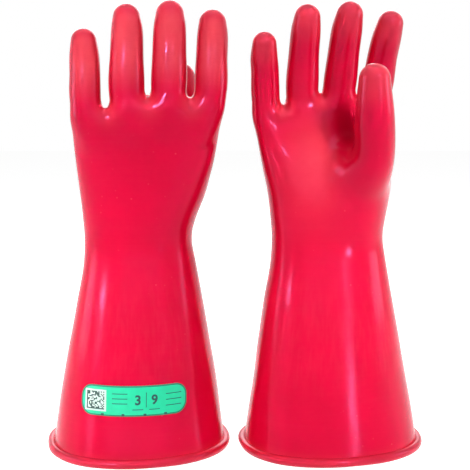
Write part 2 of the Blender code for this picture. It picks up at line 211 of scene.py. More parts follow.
# Lines: place along, place up, length
LABEL_LINES = (
    (-0.0110, 0.0056, 0.0120),
    (-0.0110, 0.0018, 0.0120),
    (-0.0110, -0.0020, 0.0120),
    (0.0031, -0.0066, 0.0085),
    (0.0162, -0.0066, 0.0085),
    (0.0318, 0.0045, 0.0130),
    (0.0318, 0.0000, 0.0130),
    (0.0318, -0.0045, 0.0130),
)
# Underside and top of each layer, above the rubber
LABEL_LAYERS = {
    "face": (-0.0003, 0.0007),
    "border": (0.0005, 0.00085),
    "patch": (0.0005, 0.00085),
    "blocks": (0.0007, 0.00098),
    "marks": (0.0005, 0.00088),
    "ticks": (0.0006, 0.00098),
}

# Colours, in linear light
RED = (0.76, 0.001, 0.037)
RED_DEEP = (0.68, 0.001, 0.029)
# Darker red for the painted shade in the crease behind the thumb
PAINTED_SHADE_RED = (0.30, 0.0, 0.010)
# Pale coral for the powder and the painted sheen
CORAL = (0.84, 0.070, 0.090)
SHINE_TINT = (1.0, 0.22, 0.60)
SHINE = 0.4
CREASE_SHINE = 0.02
ROUGHNESS = (0.155, 0.200)

# Pattern of the rubber: scale, detail and roughness of its noises, and how far lines are drawn out
SLOW_NOISE = (24, 3)
CLOUDY_NOISE = (85, 5, 0.6)
GRAIN_NOISE = (900, 2)
STREAK_NOISE = (330, 2)
DIP_NOISE = (520, 2)
DRAWN_OUT = 0.03
DUST_SCALE = 120
# Heights between which the streaks on the sleeve come and go
STREAKS_COME = (0.045, 0.075)
STREAKS_GO = (0.120, 0.160)
LINE_POWDER = 0.08
POWDER_SHEEN_ROUGHNESS = 0.02
# Bumps: distance and strength
GRAIN_BUMP = (0.00003, 0.3)
LINE_BUMP = (0.00004, 0.3)
CLOUDY_BUMP = (0.00012, 0.3)

# Printing on the label: colour, second colour and roughness, and its unevenness
LABEL_PAINTS = {
    "green": ((0.004, 0.76, 0.41), (0.004, 0.70, 0.36), 0.42),
    "dark_green": ((0.003, 0.29, 0.15), (0.003, 0.24, 0.12), 0.45),
    "white": ((0.72, 0.88, 0.80), (0.66, 0.84, 0.75), 0.50),
    "ink": ((0.008, 0.060, 0.050), (0.010, 0.080, 0.065), 0.50),
}
PRINT_NOISE = (160, 4)
PRINT_GRAIN = (700, 2)
PRINT_BUMP = (0.00005, 0.5)
PRINT_ROUGHNESS = 0.05

# Studio
AMBIENT = 0.16
CAMERA_PLACE = (-0.0002, -0.9033, 0.315)
CAMERA_PITCH = math.radians(8.89)
CAMERA_LENS = 86.2
CAMERA_SENSOR = 36
FLOOR_HALF_SIZE = 3.0
FLOOR_BOUNCE = 0.70
FLOOR_ROUGHNESS = 0.8
FLOOR_SHADE = 0.90
FLOOR_GLOW = 0.82
# Softboxes: place, aim, size, half spread in degrees, and the level of light at the aim
SOFTBOXES = (
    ("key_left", (-0.50, -1.20, 0.95), (-0.092, 0, 0.22), (0.10, 0.55), 5.5, 2.2),
    ("key_right", (0.62, -1.10, 0.95), (0.072, 0, 0.24), (0.10, 0.55), 5.5, 2.2),
    ("strip_left", (-0.98, -0.66, 0.36), (-0.085, 0, 0.10), (0.22, 0.20), 5.5, 1.35),
    ("strip_right", (0.66, -0.95, 0.40), (0.080, 0, 0.11), (0.18, 0.20), 5.0, 0.60),
    ("ridge_right", (0.68, -0.93, 0.13), (0.092, -0.03, 0.175), (0.14, 0.24), 5.5, 0.55),
    ("side_left", (-1.25, -0.10, 0.40), (-0.08, 0, 0.17), (0.50, 0.60), 90, 0.26),
    ("side_right", (1.25, -0.10, 0.40), (0.08, 0, 0.17), (0.50, 0.60), 90, 0.26),
    ("fill", (0.0, -1.50, 0.90), (0, 0, 0.20), (1.80, 1.20), 90, 0.23),
    ("top", (0.0, -0.20, 1.50), (0, 0, 0.20), (1.20, 0.80), 90, 0.27),
    ("back", (0.0, 1.40, 0.90), (0, 0, 0.20), (1.60, 0.80), 90, 0.45),
)

# Mesh: grid step, and the box that holds a glove in its own frame
STEP = 0.0022
BOX_LOW = (-0.088, -0.088, -0.004)
BOX_HIGH = (0.088, 0.088, 0.366)
OUTLINE_STEPS = 1440
BACK_DEGREES = 80
BEAD_STEPS = 220
BEAD_SIDES = 20
BEAD_TUCK = 0.0022
BEAD_LOWEST = 0.0002
# Waviness of the bead: share of its radius, waves around it, start
BEAD_WAVES = ((0.022, 5, 0.6), (0.016, 11, 2.0))
LABEL_GRID = (48, 10)

# Cuts and bends: height of a digit's low cut, and lengths about the cuts, bends and wrist
CUT_RISE = 0.0040
CUT_SNAP = STEP * 0.25
CUT_AROUND = 2.1
THUMB_CUT_TILT = 0.55
ROOT_REACH = 0.0130
THUMB_ROOT_REACH = 0.0190
BEND_LEAST = 0.009
BEND_REACH = 0.012
WRIST_REACH = (-0.034, 0.030)

Glove = namedtuple("Glove", "side palm_sign cuff_turn palm_shift pitch widths girth root_shifts "
                            "little_trim cuff_depth thumb_shift")
GLOVES = (
    Glove("left", 1, math.radians(5), 0.0096, 0.0326, LEFT_WIDTHS, 1.03,
          (0.0, -0.0008, -0.0004, -0.0004), 0.0, 0.0030, -0.0030),
    Glove("right", -1, math.radians(6.5), -0.0051, 0.0303, RIGHT_WIDTHS, 0.97,
          (0.0022, 0.0010, 0.0011, 0.0011), 0.002, 0.0, 0.0),
)
JOINTS = {joint["name"]: joint for joint in frame["joints"]}


def smooth_step(x):
    x = np.clip(x, 0, 1)
    return x * x * (3 - 2 * x)


def smooth_min(a, b, reach):
    share = np.maximum(reach - np.abs(a - b), 0) / reach
    return np.minimum(a, b) - share * share * reach / 4


def smooth_max(a, b, reach):
    return -smooth_min(-a, -b, reach)


def unit(vector):
    return vector / np.linalg.norm(vector)


def turned(vector, axis, angle):
    """The vector turned about an axis."""
    return (vector * math.cos(angle) + np.cross(axis, vector) * math.sin(angle)
            + axis * (axis @ vector) * (1 - math.cos(angle)))


# Shape of a glove

def table_at(table, height):
    """Rows at many heights, on smooth curves through the table's rows."""
    known = table[:, 0]
    height = np.clip(height, known[0], known[-1])
    slopes = np.empty_like(table)
    slopes[1:-1] = (table[2:] - table[:-2]) / (known[2:] - known[:-2])[:, None]
    slopes[0] = (table[1] - table[0]) / (known[1] - known[0])
    slopes[-1] = (table[-1] - table[-2]) / (known[-1] - known[-2])
    low = np.clip(np.searchsorted(known, height, side="right") - 1, 0, len(known) - 2)
    span = (known[low + 1] - known[low])[:, None]
    t = ((height - known[low]) / span[:, 0])[:, None]
    p1, p2 = table[low], table[low + 1]
    m1, m2 = slopes[low] * span, slopes[low + 1] * span
    return (((2 * (p1 - p2) + m1 + m2) * t + 3 * (p2 - p1) - 2 * m1 - m2) * t + m1) * t + p1


def section_turn(glove, height):
    return glove.cuff_turn * smooth_step(1 - height / WRIST_HEIGHT)


def chain_distance(points, joints, radii, reach=0.030):
    """Distance to a chain of tapered rods; far points just get a large one."""
    low = joints.min(axis=0) - reach - radii.max()
    high = joints.max(axis=0) + reach + radii.max()
    near = np.flatnonzero(((points > low) & (points < high)).all(axis=1))
    inside = points[near]
    best = np.full(len(near), reach)
    for a, b, ra, rb in zip(joints, joints[1:], radii, radii[1:]):
        along, growth = b - a, rb - ra
        square = along @ along
        t = (inside - a) @ along / square
        aside = np.linalg.norm(inside - a - t[:, None] * along, axis=1)
        t = np.clip(t + aside * growth / math.sqrt(square * (square - growth ** 2)), 0, 1)
        gap = np.linalg.norm(inside - a - t[:, None] * along, axis=1) - (ra + t * growth)
        best = np.minimum(best, gap)
    distance = np.full(len(points), reach)
    distance[near] = best
    return distance


def smooth_chain(joints, radii, steps=6):
    """More points and radii on smooth curves through the given ones."""
    rows = np.column_stack([joints, radii])
    ends = np.vstack([2 * rows[0] - rows[1], rows, 2 * rows[-1] - rows[-2]])
    fine = []
    for i in range(len(rows) - 1):
        p0, p1, p2, p3 = ends[i:i + 4]
        for t in np.arange(steps) / steps:
            fine.append(p1 + t * (p2 - p0) / 2 + t * t * (p0 - 2.5 * p1 + 2 * p2 - p3 / 2)
                        + t ** 3 * (1.5 * (p1 - p2) + (p3 - p0) / 2))
    fine.append(rows[-1])
    fine = np.array(fine)
    return fine[:, :3], fine[:, 3]


class Skin:
    """The outer surface of one glove, as a distance that is zero on it."""

    def __init__(self, glove):
        self.glove = glove
        wrist = JOINTS[f"{glove.side}_wrist"]
        self.origin = np.array([*wrist["pos_m"][:2], 0])
        across = unit(np.array(wrist["axis"]) * -glove.palm_sign)
        self.axes = np.array([across, np.cross((0, 0, 1), across), (0, 0, 1)])
        self.depths = np.array(DEPTHS)
        self.widths = np.array(glove.widths)
        self.chains = {}
        self.bones = {}
        for finger in FINGERS:
            self.add_finger(finger)
        self.add_thumb()

    def local(self, points):
        return (np.asarray(points) - self.origin) @ self.axes.T

    def world(self, points):
        return np.asarray(points) @ self.axes + self.origin

    def bone_ends(self, digit, root_joint, curl):
        """A digit's root, bend and tip middle, and its first and second direction."""
        root = self.local(JOINTS[f"{self.glove.side}_{root_joint}"]["pos_m"])
        bend_joint = JOINTS[f"{self.glove.side}_{digit.name}_bend"]
        bend = self.local(bend_joint["pos_m"])
        first = unit(bend - root)
        axis = unit(self.axes @ np.array(bend_joint["axis"]))
        second = turned(first, axis, curl)
        return root, bend, bend + second * (digit.tip_length - digit.tip), first, second

    def sections(self, height):
        """Middle, half width, half depth, setback and squareness at many heights."""
        _, middle, width = table_at(self.widths, height).T
        _, depth, setback, squareness = table_at(self.depths, height).T
        depth = depth + self.glove.cuff_depth * smooth_step(1 - height / CUFF_DEPTH_FADE)
        return middle, width, depth, setback, squareness

    def add_finger(self, finger):
        root, bend, tip, first, second = self.bone_ends(finger, f"{finger.name}_knuckle", FINGER_TIP_CURL)
        if finger.name == "little":
            tip = tip - second * self.glove.little_trim
        shift = np.array((self.glove.root_shifts[FINGERS.index(finger)], 0, 0))
        below = root - first * FOOT_LENGTH + shift
        below[0] += FOOT_LEAN * (self.glove.palm_shift - below[0])
        shoulder = tip - second * SHOULDER_LENGTH
        joints = np.array([below, root + shift, bend + shift / 2, shoulder, tip])
        radii = np.array([finger.root * FOOT_SHARE, finger.root, finger.bend,
                          finger.bend * SHOULDER_SHARE, finger.tip])
        self.chains[finger.name] = smooth_chain(joints, radii * self.glove.girth)
        self.bones[finger.name] = (root, bend, tip, first, second)

    def add_thumb(self):
        root, bend, tip, first, second = self.bone_ends(THUMB, "thumb_spread", THUMB_TIP_CURL)
        glove = self.glove
        lower = [(share * glove.palm_shift + x, glove.palm_sign * v, WRIST_HEIGHT + z)
                 for share, x, v, z, _ in THENAR]
        joints = np.array([*lower, root, bend, tip])
        joints[1:4, 0] += glove.thumb_shift
        radii = np.array([*(row[-1] for row in THENAR), THUMB.root, THUMB.bend, THUMB.tip])
        self.chains["thumb"] = smooth_chain(joints, radii)
        self.bones["thumb"] = (root, bend, tip, first, second)
        self.web = root + np.array((THUMB_WEB[0], glove.palm_sign * THUMB_WEB[1], THUMB_WEB[2]))

    def body(self, points):
        """Distance to the lofted sleeve and hand."""
        x, y, z = points.T
        middle, width, depth, setback, squareness = self.sections(z)
        turn = section_turn(self.glove, z)
        x = x - middle
        across = x * np.cos(turn) + y * np.sin(turn)
        reach = self.glove.palm_sign * (y * np.cos(turn) - x * np.sin(turn)) + setback
        a = np.abs(across) / width + 1e-9
        b = np.abs(reach) / depth + 1e-9
        k = (a ** squareness + b ** squareness) ** (1 / squareness)
        slope = np.hypot((a / k) ** (squareness - 1) / width, (b / k) ** (squareness - 1) / depth)
        return (k - 1) / slope

    def top(self, points):
        """Height above the webs between the fingers."""
        x, _, z = points.T
        steps = (x - self.glove.palm_shift) / self.glove.pitch + (len(FINGERS) - 1) / 2 - MIDDLE_FINGER
        steps = np.clip(steps, *WEB_SPAN)
        return z - (WRIST_HEIGHT + KNUCKLE_RISE - WEB_DROP - WEB_ARCH * steps ** 2)

    def ripple(self, points):
        """Slow unevenness of dipped rubber."""
        x, y, z = points.T
        sway = np.sin(41 * x + 23 * y + 17 * z + 0.7) + np.sin(29 * y - 37 * x + 31 * z + 2.1)
        fine = np.sin(97 * x - 61 * y + 53 * z + 1.3) * np.sin(71 * z + 83 * y + 0.4)
        return RIPPLE * sway + FINE_RIPPLE * fine

    def __call__(self, points):
        hand = smooth_max(self.body(points), self.top(points), WEB_ROUNDING)
        fingers = None
        for finger in FINGERS:
            gap = chain_distance(points, *self.chains[finger.name])
            fingers = gap if fingers is None else smooth_min(fingers, gap, FINGER_JOIN)
        hand = smooth_min(hand, fingers, KNUCKLE_JOIN)
        thumb = chain_distance(points, *self.chains["thumb"])
        away = np.linalg.norm(points - self.web, axis=1) / THUMB_WEB_REACH
        join = THUMB_JOIN + THUMB_WEB_FILL * np.exp(-away ** 2)
        return smooth_min(hand, thumb, join) + self.ripple(points)

    def slope(self, points, step=0.0003):
        """Direction and steepness of the distance."""
        rows = []
        for axis in np.eye(3) * step:
            rows.append((self(points + axis) - self(points - axis)) / (2 * step))
        return np.column_stack(rows)

    def settle(self, points, rounds=2):
        """Moves points straight onto the surface."""
        for _ in range(rounds):
            slope = self.slope(points)
            points = points - (self(points) / (slope ** 2).sum(axis=1))[:, None] * slope
        return points


# From the distance to a mesh

def surface_net(field, low, high, step):
    """Corner points and quads of the surface, one point to each grid cell that it crosses."""
    counts = [int(math.ceil((b - a) / step)) + 1 for a, b in zip(low, high)]
    grid = np.stack(np.meshgrid(*(np.arange(n) for n in counts), indexing="ij"), axis=-1)
    values = field(np.asarray(low) + step * grid.reshape(-1, 3)).reshape(counts)
    inside = values < 0
    filled = np.zeros([n - 1 for n in counts], int)
    for i, j, k in itertools.product((0, 1), repeat=3):
        filled += inside[i:counts[0] - 1 + i, j:counts[1] - 1 + j, k:counts[2] - 1 + k]
    mixed = (filled > 0) & (filled < 8)
    cells = np.argwhere(mixed)
    index = np.full(mixed.shape, -1)
    index[mixed] = np.arange(len(cells))
    total = np.zeros((len(cells), 3))
    hits = np.zeros(len(cells))
    quads = []
    for axis in range(3):
        one, two = (axis + 1) % 3, (axis + 2) % 3
        for i, j in itertools.product((0, 1), repeat=2):
            start = cells.copy()
            start[:, one] += i
            start[:, two] += j
            end = start.copy()
            end[:, axis] += 1
            v1, v2 = values[tuple(start.T)], values[tuple(end.T)]
            crossed = (v1 < 0) != (v2 < 0)
            place = start[crossed].astype(float)
            place[:, axis] += v1[crossed] / (v1[crossed] - v2[crossed])
            total[crossed] += place
            hits[crossed] += 1
        lower = np.take(inside, range(counts[axis] - 1), axis=axis)
        upper = np.take(inside, range(1, counts[axis]), axis=axis)
        edges = np.argwhere(lower != upper)
        within = ((edges[:, one] > 0) & (edges[:, one] < counts[one] - 1)
                  & (edges[:, two] > 0) & (edges[:, two] < counts[two] - 1))
        edges = edges[within]
        around = []
        for i, j in ((1, 1), (0, 1), (0, 0), (1, 0)):
            cell = edges.copy()
            cell[:, one] -= i
            cell[:, two] -= j
            around.append(index[tuple(cell.T)])
        rows = np.column_stack(around)
        outward = lower[tuple(edges.T)]
        quads.append(np.where(outward[:, None], rows, rows[:, ::-1]))
    return np.asarray(low) + step * total / hits[:, None], np.vstack(quads)


def relaxed(skin, points, quads, rounds=4):
    """Evens out the mesh along the surface."""
    links = np.vstack([quads[:, [i, (i + 1) % 4]] for i in range(4)])
    links = np.vstack([links, links[:, ::-1]])
    count = np.bincount(links[:, 0], minlength=len(points))[:, None]
    for _ in range(rounds):
        total = np.zeros_like(points)
        np.add.at(total, links[:, 0], points[links[:, 1]])
        points = skin.settle(points + 0.5 * (total / count - points), 1)
    return skin.settle(points)


def cut_plane(bm, place, normal, reach):
    """Cuts the faces near a place along a plane, without parting them."""
    middle = Vector(place)
    faces = [face for face in bm.faces if (face.calc_center_median() - middle).length < reach]
    edges = {edge for face in faces for edge in face.edges}
    verts = {vert for face in faces for vert in face.verts}
    bmesh.ops.bisect_plane(bm, geom=[*verts, *edges, *faces], dist=CUT_SNAP, plane_co=middle,
                           plane_no=Vector(normal), use_snap_center=True)


def above(bm, seed, place, normal):
    """The connected faces above a plane that hold the face nearest to the seed."""
    place, normal, seed = Vector(place), Vector(normal), Vector(seed)
    centres = {face: face.calc_center_median() for face in bm.faces}
    first = min(centres, key=lambda face: (centres[face] - seed).length_squared)
    found, waiting = {first}, [first]
    while waiting:
        for edge in waiting.pop().edges:
            for face in edge.link_faces:
                if face not in found and (centres[face] - place).dot(normal) > 0:
                    found.add(face)
                    waiting.append(face)
    return found


def digit_cuts(skin, digit):
    """A digit's two cuts and its bend, as distances from its root along its first bone."""
    root, bend, _, _, _ = skin.bones[digit.name]
    length = np.linalg.norm(bend - root)
    reach = THUMB_ROOT_REACH if digit is THUMB else ROOT_REACH
    return CUT_RISE, CUT_RISE + min(reach, length - CUT_RISE - BEND_LEAST), length


def cut_normal(skin, digit):
    """Along a digit; the thumb's cuts dip on its outer side, where it folds when it spreads."""
    first = skin.bones[digit.name][3]
    tilt = THUMB_CUT_TILT if digit is THUMB else 0
    return unit(first + np.array((tilt, 0, 0)))


def divided_skin(skin):
    """The outer surface cut at each bend: points, and the faces of each piece by its name."""
    points, quads = surface_net(skin, BOX_LOW, BOX_HIGH, STEP)
    points = relaxed(skin, points, quads)
    bm = bmesh.new()
    verts = [bm.verts.new(point) for point in points]
    for quad in quads:
        bm.faces.new([verts[i] for i in quad])
    bmesh.ops.bisect_plane(bm, geom=[*bm.verts, *bm.edges, *bm.faces], dist=CUT_SNAP,
                           plane_co=(0, 0, CUFF_LIFT), plane_no=(0, 0, -1), clear_outer=True,
                           use_snap_center=True)
    digits = [*FINGERS, THUMB]
    for digit in digits:
        root, _, _, first, _ = skin.bones[digit.name]
        for distance in digit_cuts(skin, digit)[:2]:
            cut_plane(bm, root + first * distance, cut_normal(skin, digit), digit.root * CUT_AROUND)
    bm.faces.ensure_lookup_table()
    pieces = {}
    taken = set()
    for digit in digits:
        root, _, tip, first, second = skin.bones[digit.name]
        end = tip + second * digit.tip
        low_cut, high_cut, _ = digit_cuts(skin, digit)
        whole = above(bm, end, root + first * low_cut, cut_normal(skin, digit))
        upper = above(bm, end, root + first * high_cut, cut_normal(skin, digit))
        pieces[f"{digit.name}_upper"] = upper
        pieces[f"{digit.name}_lower"] = whole - upper
        taken |= whole
    pieces["skin"] = set(bm.faces) - taken
    bm.verts.index_update()
    points = np.array([vert.co for vert in bm.verts])
    named = {name: sorted([vert.index for vert in face.verts] for face in faces)
             for name, faces in pieces.items()}
    bm.free()
    return points, named


def powder_sheen_shade_at(skin, points):
    """How pale the rubber is painted: powder at the cuff; powder and painted sheen on finger backs and
    tips, under the webs and on the palm; below zero, painted shade in the crease behind the thumb.
    """
    glove = skin.glove
    bloom = np.zeros(len(points))
    # Pale coral at the tips and along the finger backs: partly powder, partly painted sheen where the light
    # falls
    for digit in (*FINGERS, THUMB):
        root, bend, tip, _, second = skin.bones[digit.name]
        away = np.linalg.norm(points - tip - second * digit.tip * 0.5, axis=1) / digit.tip
        bloom = np.maximum(bloom, TIP_POWDER_SHEEN * smooth_step((TIP_POWDER_SHEEN_END - away) / TIP_POWDER_SHEEN_FADE))
        if digit is THUMB:
            continue
        heights = (root[2], bend[2], tip[2])
        offset = points[:, :2] - np.column_stack(
            [np.interp(points[:, 2], heights, (root[i], bend[i], tip[i])) for i in range(2)])
        reach = np.linalg.norm(offset, axis=1) / digit.root
        inward = glove.palm_sign * offset[:, 1] / digit.root
        back = smooth_step(0.5 - 0.5 * (inward + BACK_EDGE) / BACK_EDGE_FADE)
        rise = smooth_step((points[:, 2] - root[2] + BACK_DROP) / BACK_RISE)
        bloom = np.maximum(bloom, BACK_POWDER_SHEEN * back * rise * smooth_step(3.0 - 1.6 * reach))
    # Pale spots under the webs and on the palm: partly powder, partly painted sheen
    roots = [skin.bones[finger.name][0] for finger in FINGERS]
    for one, two in zip(roots, roots[1:]):
        web = (one + two) / 2 - np.array((0, 0, WEB_SPOT_DROP))
        away = np.linalg.norm((points - web) / WEB_SPOT, axis=1)
        bloom = np.maximum(bloom, WEB_POWDER_SHEEN * np.exp(-away ** 2))
    x, v, z = PALM_CLOUD_MIDDLE
    middle = np.array((glove.palm_shift + x, glove.palm_sign * v, WRIST_HEIGHT + z))
    away = np.linalg.norm((points - middle) / PALM_CLOUD, axis=1)
    bloom = np.maximum(bloom, PALM_POWDER_SHEEN * np.exp(-away ** 2))
    bloom = np.maximum(bloom, CUFF_POWDER * smooth_step(1 - points[:, 2] / CUFF_POWDER_RISE))
    # Painted shade: the crease behind the thumb is pushed below zero
    x, v, z = CREASE_MIDDLE
    crease = skin.web + np.array((x, glove.palm_sign * v, z))
    away = np.linalg.norm((points - crease) / CREASE, axis=1)
    return bloom - (bloom + CREASE_PAINTED_SHADE) * np.exp(-away ** 2)


def give_skin_values(mesh, skin, points):
    """Stores each point's place at rest and its value of powder, painted sheen and painted shade for the
    material.
    """
    rest = mesh.attributes.new("rest", "FLOAT_VECTOR", "POINT")
    rest.data.foreach_set("vector", points.ravel())
    bloom = mesh.attributes.new("bloom", "FLOAT", "POINT")
    bloom.data.foreach_set("value", powder_sheen_shade_at(skin, points))


def walled_mesh(name, skin, points, normals, faces):
    """A closed piece of skin: outside, inside a wall's thickness below, and rims along its cuts."""
    used = sorted({i for face in faces for i in face})
    place = {old: new for new, old in enumerate(used)}
    count = len(used)
    outer = points[used]
    normal = normals[used]
    outside = [[place[i] for i in face] for face in faces]
    inside = [[i + count for i in reversed(face)] for face in outside]
    edges = {}
    for face in outside:
        for a, b in zip(face, face[1:] + face[:1]):
            edges[a, b] = True
    rims = [[b, a, a + count, b + count] for a, b in edges if (b, a) not in edges]
    mesh = bpy.data.meshes.new(name)
    everything = np.vstack([outer, outer - normal * WALL])
    mesh.from_pydata(skin.world(everything).tolist(), [], outside + inside + rims)
    mesh.shade_smooth()
    turned_normals = np.vstack([normal, -normal]) @ skin.axes
    mesh.normals_split_custom_set_from_vertices(turned_normals.tolist())
    give_skin_values(mesh, skin, everything)
    return mesh


def piece(name, mesh, material):
    obj = bpy.data.objects.new(name, mesh)
    bpy.context.scene.collection.objects.link(obj)
    mesh.materials.append(material)
    return obj


def make_skin(skin, rubber):
    """The rubber: one piece for sleeve and palm and two for each digit."""
    side = skin.glove.side
    points, named = divided_skin(skin)
    slope = skin.slope(points)
    normals = slope / np.linalg.norm(slope, axis=1)[:, None]
    for name, faces in named.items():
        mesh = walled_mesh(f"{side}_{name}", skin, points, normals, faces)
        obj = piece(f"{side}_{name}", mesh, rubber)
        if name == "skin":
            skin.world((0, 0, WRIST_HEIGHT + WRIST_REACH[0]))
            skin.world((0, 0, WRIST_HEIGHT + WRIST_REACH[1]))
            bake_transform(obj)
            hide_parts(f"{side}_gauntlet", f"{side}_palm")
            continue
        digit_name, part = name.split("_")
        digit = next(d for d in (*FINGERS, THUMB) if d.name == digit_name)
        root, bend, _, first, _ = skin.bones[digit_name]
        low_cut, high_cut, length = digit_cuts(skin, digit)
        if part == "lower":
            start = root + first * low_cut
            normal = cut_normal(skin, digit)
            end = start + normal * (normal @ first) * (high_cut - low_cut)
            skin.world(start)
            skin.world(end)
            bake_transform(obj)
            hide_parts(f"{side}_{digit_name}_base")
        else:
            past = min(length - high_cut, BEND_REACH)
            skin.world(bend - first * past)
            skin.world(bend + first * past)
            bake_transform(obj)
            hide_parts(f"{side}_{digit_name}_tip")


# Rolled edge of the cuff

def sleeve_outline(skin, height, count):
    """Points around the sleeve at one height, evenly spaced, going round from +x through +y."""
    angle = np.linspace(0, 2 * math.pi, OUTLINE_STEPS + 1)
    middle, width, depth, _, _ = (values[0] for values in skin.sections(np.array([height])))
    turn = section_turn(skin.glove, height)
    across, reach = width * np.cos(angle), depth * np.sin(angle)
    x = middle + across * math.cos(turn) - reach * math.sin(turn)
    y = across * math.sin(turn) + reach * math.cos(turn)
    length = np.concatenate([[0], np.cumsum(np.hypot(np.diff(x), np.diff(y)))])
    even = np.linspace(0, length[-1], count, endpoint=False)
    return np.column_stack([np.interp(even, length, x), np.interp(even, length, y), np.full(count, height)])


def make_bead(skin, rubber):
    """The rolled edge that the glove stands on, slightly wavy."""
    side = skin.glove.side
    count, sides = BEAD_STEPS, BEAD_SIDES
    path = skin.settle(sleeve_outline(skin, BEAD_RADIUS, count))
    path[:, 2] = BEAD_RADIUS
    along = np.roll(path, -1, axis=0) - np.roll(path, 1, axis=0)
    outward = np.column_stack([along[:, 1], -along[:, 0], np.zeros(count)])
    outward /= np.linalg.norm(outward, axis=1)[:, None]
    t = np.arange(count) * 2 * math.pi / count
    wave = np.ones(count)
    for share, waves, start in BEAD_WAVES:
        wave = wave + share * np.sin(waves * t + start)
    radius = BEAD_RADIUS * wave
    rings = []
    for i in range(sides):
        a = i * 2 * math.pi / sides
        ring = path + outward * (radius * (1 + math.cos(a)) - BEAD_TUCK)[:, None]
        ring[:, 2] = np.maximum(radius * (1 + math.sin(a)), BEAD_LOWEST)
        rings.append(ring)
    points = np.vstack(rings)
    faces = []
    for i in range(sides):
        for j in range(count):
            k, m = (i + 1) % sides, (j + 1) % count
            faces.append([i * count + j, i * count + m, k * count + m, k * count + j])
    mesh = bpy.data.meshes.new(f"{side}_bead")
    mesh.from_pydata(skin.world(points).tolist(), [], faces)
    mesh.shade_smooth()
    give_skin_values(mesh, skin, points)
    obj = piece(f"{side}_bead", mesh, rubber)
    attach(obj, f"{side}_gauntlet")
    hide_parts(f"{side}_cuff_bead")


# Label on the sleeve

def back_points(skin, along, height, lift):
    """Points over the back of the sleeve, from distances along its skin and heights."""
    glove = skin.glove
    along = np.asarray(along, float) * glove.palm_sign
    height = np.asarray(height, float)
    middle, width, depth, _, _ = skin.sections(height)
    turn = section_turn(glove, height)
    offset = np.radians(np.arange(-BACK_DEGREES, BACK_DEGREES + 1))
    angle = (-math.pi / 2 - glove.palm_sign * turn)[:, None] + offset
    across = width[:, None] * np.cos(angle)
    reach = glove.palm_sign * depth[:, None] * np.sin(angle)
    x = across * np.cos(turn)[:, None] - reach * np.sin(turn)[:, None]
    y = across * np.sin(turn)[:, None] + reach * np.cos(turn)[:, None]
    steps = np.hypot(np.diff(x, axis=1, prepend=x[:, :1]), np.diff(y, axis=1, prepend=y[:, :1]))
    length = np.cumsum(steps, axis=1)
    length -= length[:, BACK_DEGREES:BACK_DEGREES + 1]
    rows = np.arange(len(along))
    low = np.clip((length < along[:, None]).sum(axis=1) - 1, 0, len(offset) - 2)
    share = (along - length[rows, low]) / (length[rows, low + 1] - length[rows, low])
    points = np.column_stack([
        middle + x[rows, low] + share * (x[rows, low + 1] - x[rows, low]),
        y[rows, low] + share * (y[rows, low + 1] - y[rows, low]),
        height,
    ])
    points = skin.settle(points)
    slope = skin.slope(points)
    return points + slope / np.linalg.norm(slope, axis=1)[:, None] * np.reshape(lift, (-1, 1))


def raised(skin, layer, flat, faces, material):
    """A thin closed layer of the label, from a flat outline in along and up."""
    name = f"{skin.glove.side}_label_{layer}"
    low, high = LABEL_LAYERS[layer]
    flat = np.asarray(flat, float)
    count = len(flat)
    lifts = np.repeat([high, low], count)
    both = np.vstack([flat, flat])
    points = back_points(skin, both[:, 0] + LABEL_SHIFT, LABEL_HEIGHT + both[:, 1], lifts)
    edges = {(a, b) for face in faces for a, b in zip(face, face[1:] + face[:1])}
    under = [[i + count for i in reversed(face)] for face in faces]
    sides = [[b, a, a + count, b + count] for a, b in sorted(edges) if (b, a) not in edges]
    mesh = bpy.data.meshes.new(name)
    mesh.from_pydata(skin.world(points).tolist(), [], faces + under + sides)
    mesh.shade_smooth()
    mesh.set_sharp_from_angle(angle=math.radians(40))
    rest = mesh.attributes.new("rest", "FLOAT_VECTOR", "POINT")
    rest.data.foreach_set("vector", points.ravel())
    obj = piece(name, mesh, material)
    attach(obj, f"{skin.glove.side}_gauntlet")
    return obj


def grid_faces(columns, rows):
    faces = []
    for i in range(columns):
        for j in range(rows):
            a = i * (rows + 1) + j
            faces.append([a, a + rows + 1, a + rows + 2, a + 1])
    return faces


def label_half(along):
    past = np.maximum(np.abs(along) - (LABEL_LENGTH / 2 - LABEL_CORNER), 0)
    return LABEL_WIDTH / 2 - LABEL_CORNER + np.sqrt(np.maximum(LABEL_CORNER ** 2 - past ** 2, 0))


def plate(middle, size, steps):
    """A flat rectangle in rows and columns, so that it can follow the sleeve."""
    xs = middle[0] + size[0] * (np.arange(steps[0] + 1) / steps[0] - 0.5)
    ys = middle[1] + size[1] * (np.arange(steps[1] + 1) / steps[1] - 0.5)
    return [(x, y) for x in xs for y in ys], grid_faces(*steps)


def joined(shapes):
    """Several flat shapes as one."""
    flat, faces = [], []
    for points, quads in shapes:
        faces += [[i + len(flat) for i in quad] for quad in quads]
        flat += list(points)
    return flat, faces


def numeral(text, middle, height):
    """A plain numeral as a flat shape."""
    curve = bpy.data.curves.new("numeral", "FONT")
    curve.body = text
    curve.offset = NUMERAL_WEIGHT
    curve.resolution_u = 5
    holder = bpy.data.objects.new("numeral", curve)
    mesh = bpy.data.meshes.new_from_object(holder)
    points = np.array([vert.co[:2] for vert in mesh.vertices])
    faces = [list(polygon.vertices) for polygon in mesh.polygons]
    bpy.data.objects.remove(holder)
    bpy.data.curves.remove(curve)
    low, high = points.min(axis=0), points.max(axis=0)
    points = (points - (low + high) / 2) * height / (high[1] - low[1]) + middle
    return points.tolist(), faces


